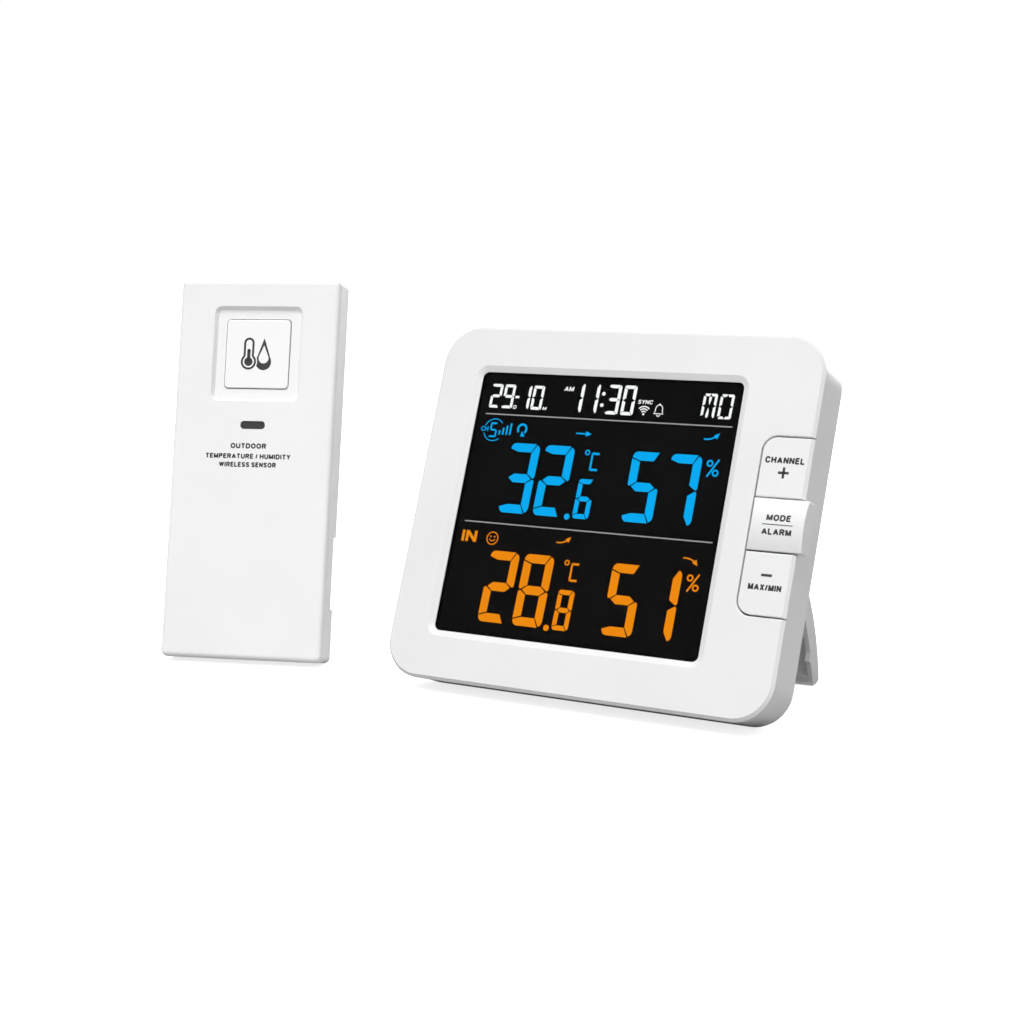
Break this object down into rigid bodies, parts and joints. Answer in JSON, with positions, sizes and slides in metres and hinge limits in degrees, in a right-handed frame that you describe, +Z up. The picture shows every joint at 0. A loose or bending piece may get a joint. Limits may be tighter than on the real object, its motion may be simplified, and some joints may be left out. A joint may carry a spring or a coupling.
{
  "type": "home weather station",
  "caption": "Tilted weather display with a wide colour read-out window and edge keys on a fold-out stand, and a slim wireless outdoor sensor that leans on its prop leg.",
  "frame": {"origin": "on the table, at the middle of the whole set's box", "axes": "+Z up, the fronts face -Y, +X to the viewer's right along the row of two units"},
  "size_m": [0.2287, 0.0843, 0.1256],
  "materials": {
    "shell_white": "fine satin texture",
    "key_white": "satin",
    "window_clear": "clear gloss",
    "lcd_black": "gloss",
    "guide_clear": "clear, dotted",
    "frame_white": "satin",
    "board_green": "solder mask",
    "chip_black": "moulded",
    "sensor_cell_white": "moulded",
    "antenna_brass": "drawn wire",
    "screw_steel": "zinc plated",
    "contact_chrome": "nickel plated",
    "cell_can": "printed wrap",
    "icon_gloss": "gloss",
    "lens_smoke": "smoked gloss",
    "led_red": "clear tinted",
    "gasket_rubber": "silicone"
  },
  "bodies": {
    "display": {"front_bezel": "shell_white", "rear_shell": "shell_white", "lcd_window": "window_clear", "lcd_panel": "lcd_black", "backlight_guide": "guide_clear", "lcd_frame": "frame_white", "main_board": "board_green", "key_board": "board_green", "controller_chip": "chip_black", "radio_module": "chip_black", "buzzer": "chip_black", "key_switches": "chip_black", "rear_switches": "chip_black", "dc_jack": "chip_black", "room_sensor": "sensor_cell_white", "antenna_wire": "antenna_brass", "board_screws": "screw_steel", "case_screws": "screw_steel", "stand_pins": "screw_steel", "display_springs": "contact_chrome", "display_contacts": "contact_chrome", "display_batteries": "cell_can"},
    "plus_key": {"plus_key": "key_white"},
    "mode_key": {"mode_key": "key_white"},
    "minus_key": {"minus_key": "key_white"},
    "snooze_key": {"snooze_key": "key_white"},
    "search_key": {"search_key": "key_white"},
    "unit_key": {"unit_key": "key_white"},
    "display_battery_door": {"display_battery_door": "shell_white"},
    "desk_stand": {"desk_stand": "shell_white"},
    "sensor": {"sensor_front_cover": "shell_white", "icon_window": "icon_gloss", "led_lens": "lens_smoke", "sensor_gasket": "gasket_rubber", "sensor_rear_cover": "shell_white", "sensor_leg_pin": "screw_steel", "sensor_board": "board_green", "sensor_radio_chip": "chip_black", "sensor_antenna": "antenna_brass", "humidity_cell": "sensor_cell_white", "channel_switch": "chip_black", "indicator_led": "led_red", "sensor_batteries": "cell_can", "sensor_springs": "contact_chrome", "sensor_contacts": "contact_chrome", "sensor_screws": "screw_steel"},
    "sensor_prop_leg": {"sensor_prop_leg": "shell_white"},
    "sensor_battery_door": {"sensor_battery_door": "shell_white"},
    "channel_slider": {"channel_slider": "key_white"}
  },
  "joints": [
    {"name": "desk_stand_hinge", "type": "hinge", "parent": "display", "child": "desk_stand", "pos_m": [0.0474, 0.01561, 0.07219], "axis": [-1, 0, 0], "range_deg": [0, 39]},
    {"name": "plus_key_press", "type": "slide", "parent": "display", "child": "plus_key", "axis": [0, 0.9335, -0.3587], "range_m": [0, 0.0005], "stiffness_N_per_m": 600, "springref_m": -0.0005},
    {"name": "mode_key_press", "type": "slide", "parent": "display", "child": "mode_key", "axis": [0, 0.9335, -0.3587], "range_m": [0, 0.0005], "stiffness_N_per_m": 600, "springref_m": -0.0005},
    {"name": "minus_key_press", "type": "slide", "parent": "display", "child": "minus_key", "axis": [0, 0.9335, -0.3587], "range_m": [0, 0.0005], "stiffness_N_per_m": 600, "springref_m": -0.0005},
    {"name": "snooze_key_press", "type": "slide", "parent": "display", "child": "snooze_key", "axis": [0, -0.3587, -0.9335], "range_m": [0, 0.0005], "stiffness_N_per_m": 600, "springref_m": -0.0005},
    {"name": "search_key_press", "type": "slide", "parent": "display", "child": "search_key", "axis": [0, -0.9335, 0.3587], "range_m": [0, 0.0005], "stiffness_N_per_m": 600, "springref_m": -0.0005},
    {"name": "unit_key_press", "type": "slide", "parent": "display", "child": "unit_key", "axis": [0, -0.9335, 0.3587], "range_m": [0, 0.0005], "stiffness_N_per_m": 600, "springref_m": -0.0005},
    {"name": "display_battery_door_lift", "type": "slide", "parent": "display", "child": "display_battery_door", "axis": [0, 0.9335, -0.3587], "range_m": [0, 0.015]},
    {"name": "sensor_lift", "type": "slide", "parent": "display", "child": "sensor", "axis": [0, 0, 1], "range_m": [0, 0.15]},
    {"name": "sensor_prop_leg_hinge", "type": "hinge", "parent": "sensor", "child": "sensor_prop_leg", "pos_m": [-0.08634, -0.00386, 0.05028], "axis": [-0.9455, -0.3256, 0], "range_deg": [0, 26.5]},
    {"name": "sensor_battery_door_lift", "type": "slide", "parent": "sensor", "child": "sensor_battery_door", "axis": [-0.3176, 0.9224, -0.2198], "range_m": [0, 0.015]},
    {"name": "channel_slider_slide", "type": "slide", "parent": "sensor", "child": "channel_slider", "axis": [0.9455, 0.3256, 0], "range_m": [0, 0.004]}
  ]
}
